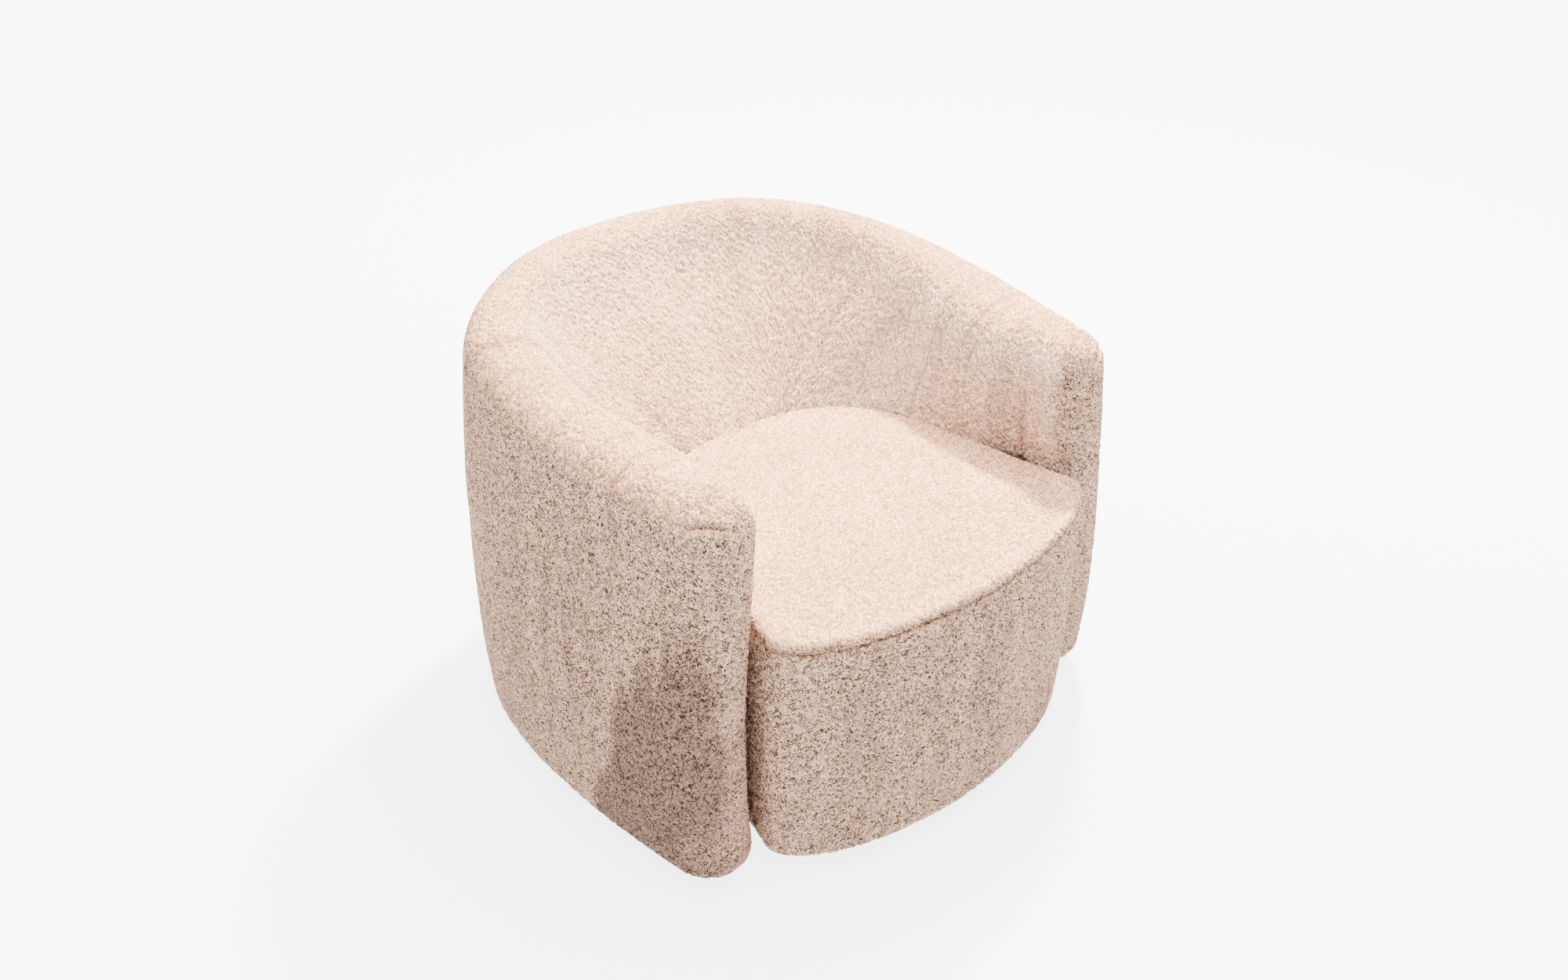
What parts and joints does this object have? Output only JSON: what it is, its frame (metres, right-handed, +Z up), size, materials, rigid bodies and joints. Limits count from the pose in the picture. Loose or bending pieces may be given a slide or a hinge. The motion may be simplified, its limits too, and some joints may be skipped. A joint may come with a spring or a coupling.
{
  "type": "upholstered armchair",
  "caption": "Swivelling tub armchair in cream bouclé, with rolled arms that wrap round into the back, a tight crowned seat and a rounded front band.",
  "frame": {"origin": "on the floor, under the middle of the bounding box, on the swivel axis", "axes": "+Z up, the sitter faces -Y, X across the chair"},
  "size_m": [0.9362, 0.9039, 0.691],
  "materials": {
    "boucle": "knobbly bouclé, cream",
    "dust_cloth": "black non-woven",
    "foam": "open cell foam",
    "wadding": "polyester wadding",
    "webbing": "woven strap",
    "felt": "needled felt",
    "fibreboard": "bent fibreboard",
    "plywood": "birch plywood",
    "hardwood": "sawn beech",
    "black_wood": "black painted plywood",
    "zinc_steel": "zinc plated",
    "spring_steel": "oiled spring steel",
    "ball_steel": "polished balls",
    "nylon": "black nylon"
  },
  "bodies": {
    "base": {"floor_glides": "nylon", "glide_screws": "zinc_steel", "base_disc": "black_wood", "lower_swivel_plate": "zinc_steel", "lower_plate_screws": "zinc_steel", "pivot_bolt": "zinc_steel", "pivot_washer": "zinc_steel", "pivot_nut": "zinc_steel"},
    "ball_race": {"ball_cage": "nylon", "swivel_balls": "ball_steel"},
    "chair": {"back_centre_rib": "plywood", "back_left_rib": "plywood", "back_right_rib": "plywood", "back_roll_foam": "foam", "back_top_rail": "plywood", "dust_cover": "dust_cloth", "frame_screws": "zinc_steel", "frame_tie_blocks": "hardwood", "front_apron": "fibreboard", "front_band_cover": "boucle", "front_band_padding": "wadding", "inner_webbing": "webbing", "inside_back_foam": "foam", "left_arm_inside_foam": "foam", "left_arm_rail": "plywood", "left_arm_roll_foam": "foam", "left_arm_stud": "plywood", "left_corner_rib": "plywood", "left_front_post": "hardwood", "left_nose_cover": "boucle", "left_nose_foam": "foam", "lower_arm_uprights": "hardwood", "lower_back_uprights": "hardwood", "outer_board": "fibreboard", "outside_wadding": "wadding", "pivot_bush": "nylon", "right_arm_inside_foam": "foam", "right_arm_rail": "plywood", "right_arm_roll_foam": "foam", "right_arm_stud": "plywood", "right_corner_rib": "plywood", "right_front_post": "hardwood", "right_nose_cover": "boucle", "right_nose_foam": "foam", "seat_base_board": "plywood", "seat_cover": "boucle", "seat_foam": "foam", "seat_post_screws": "zinc_steel", "seat_posts": "hardwood", "seat_springs": "spring_steel", "seat_top_ring": "plywood", "shell_cover": "boucle", "shell_foot_ring": "plywood", "shell_middle_ring": "plywood", "spring_clips": "zinc_steel", "spring_pad": "felt", "spring_tie_wires": "spring_steel", "upper_plate_bolts": "zinc_steel", "upper_plate_nuts": "zinc_steel", "upper_swivel_plate": "zinc_steel"}
  },
  "joints": [
    {"name": "swivel", "type": "hinge", "parent": "base", "child": "chair", "pos_m": [0, 0, 0.029], "axis": [0, 0, 1], "continuous": true},
    {"name": "race_turn", "type": "hinge", "parent": "base", "child": "ball_race", "pos_m": [0, 0, 0.029], "axis": [0, 0, 1], "continuous": true}
  ],
  "couplings": [
    {"joint": "race_turn", "follows": "swivel", "ratio": 0.5}
  ]
}
